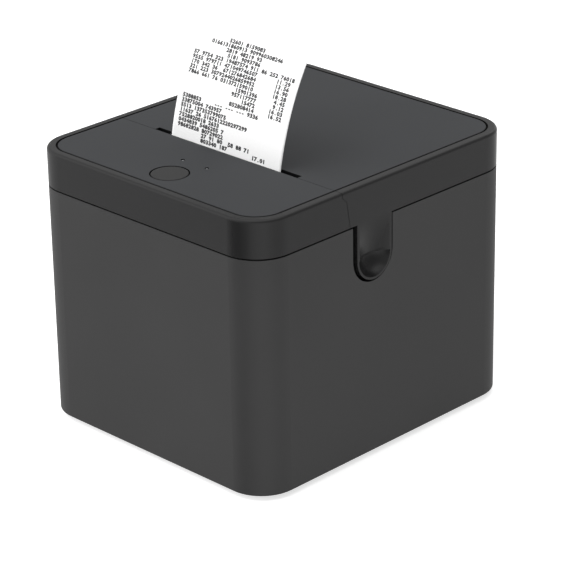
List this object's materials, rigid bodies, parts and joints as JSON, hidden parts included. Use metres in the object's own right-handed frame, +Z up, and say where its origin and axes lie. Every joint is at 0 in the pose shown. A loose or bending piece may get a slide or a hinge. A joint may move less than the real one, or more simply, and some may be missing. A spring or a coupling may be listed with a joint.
{
  "type": "receipt printer",
  "caption": "Cube-shaped desktop thermal receipt printer with a rear-hinged top lid, a top paper slot with a curling receipt, a round feed button and finger bowls at the sides.",
  "frame": {"origin": "middle of the footprint, on the surface that the rubber feet stand on", "axes": "+X to the right seen from the front, +Y to the rear, +Z up"},
  "size_m": [0.12, 0.137, 0.1598],
  "materials": {
    "shell_black": "satin",
    "panel_black": "satin",
    "inner_black": "matte",
    "base_grey": "matte",
    "rubber": "matte",
    "steel": "brushed",
    "zinc_sheet": "zinc plated",
    "aluminium": "extruded",
    "ceramic": "glazed line",
    "gear_white": "moulded",
    "brass": "turned",
    "paper": "thermal coated",
    "cardboard": "kraft",
    "board_green": "solder mask",
    "socket_black": "moulded",
    "socket_metal": "tinned",
    "light_pipe": "clear"
  },
  "bodies": {
    "base": {"lower_housing": "shell_black", "front_cover": "shell_black", "front_panel": "panel_black", "bottom_plate": "base_grey", "rubber_feet": "rubber", "base_screws": "steel", "frame_screws": "steel", "hinge_pins": "steel", "paper_carrier": "inner_black", "gear_stud": "steel", "feed_motor": "zinc_sheet", "print_frame": "zinc_sheet", "head_pivot": "steel", "head_springs": "steel", "tear_bar": "steel", "paper_sensor": "socket_black", "paper_web": "paper", "status_lights": "light_pipe", "button_board": "board_green", "feed_switch": "socket_black", "main_board": "board_green", "usb_socket": "socket_metal", "lan_socket": "socket_metal", "drawer_socket": "socket_black", "dc_jack": "socket_black", "port_panel": "inner_black", "switch_frame": "socket_black"},
    "lid": {"lid_shell": "shell_black", "lid_panel": "panel_black", "lid_liner": "inner_black", "lid_screws": "steel", "platen_bushes": "gear_white", "receipt": "paper"},
    "platen": {"platen_shaft": "steel", "platen_rubber": "rubber", "platen_gear": "gear_white"},
    "reduction": {"reduction_gear": "gear_white"},
    "rotor": {"motor_shaft": "steel", "motor_pinion": "brass"},
    "roll": {"paper_roll": "paper", "roll_core": "cardboard"},
    "head": {"print_head": "ceramic", "head_sink": "aluminium"},
    "button": {"feed_button": "panel_black"},
    "rocker": {"power_rocker": "socket_black"}
  },
  "joints": [
    {"name": "lid_hinge", "type": "hinge", "parent": "base", "child": "lid", "pos_m": [0, 0.065, 0.0993], "axis": [-1, 0, 0], "range_deg": [0, 80]},
    {"name": "platen_spin", "type": "hinge", "parent": "lid", "child": "platen", "pos_m": [0, -0.0196, 0.0974], "axis": [1, 0, 0], "continuous": true},
    {"name": "reduction_spin", "type": "hinge", "parent": "base", "child": "reduction", "pos_m": [0.04275, -0.0196, 0.0889], "axis": [1, 0, 0], "continuous": true},
    {"name": "motor_spin", "type": "hinge", "parent": "base", "child": "rotor", "pos_m": [0.036, -0.03025, 0.08144], "axis": [1, 0, 0], "continuous": true},
    {"name": "roll_spin", "type": "hinge", "parent": "base", "child": "roll", "pos_m": [0, 0.02, 0.0573], "axis": [1, 0, 0], "continuous": true},
    {"name": "head_rock", "type": "hinge", "parent": "base", "child": "head", "pos_m": [0, -0.02975, 0.0932], "axis": [1, 0, 0], "range_deg": [0, 3], "stiffness_Nm_per_rad": 0.05, "springref_deg": -5.73, "deforming": ["head_springs"]},
    {"name": "feed_button_press", "type": "slide", "parent": "base", "child": "button", "axis": [0, 0, -1], "range_m": [0, 0.0006], "stiffness_N_per_m": 400, "springref_m": -0.0005},
    {"name": "power_rocker_tip", "type": "hinge", "parent": "base", "child": "rocker", "pos_m": [0.0345, 0.06525, 0.021], "axis": [1, 0, 0], "range_deg": [0, 14]}
  ],
  "couplings": [
    {"joint": "platen_spin", "follows": "roll_spin", "ratio": 4.5},
    {"joint": "reduction_spin", "follows": "roll_spin", "ratio": -8.25},
    {"joint": "motor_spin", "follows": "roll_spin", "ratio": 27.5}
  ]
}
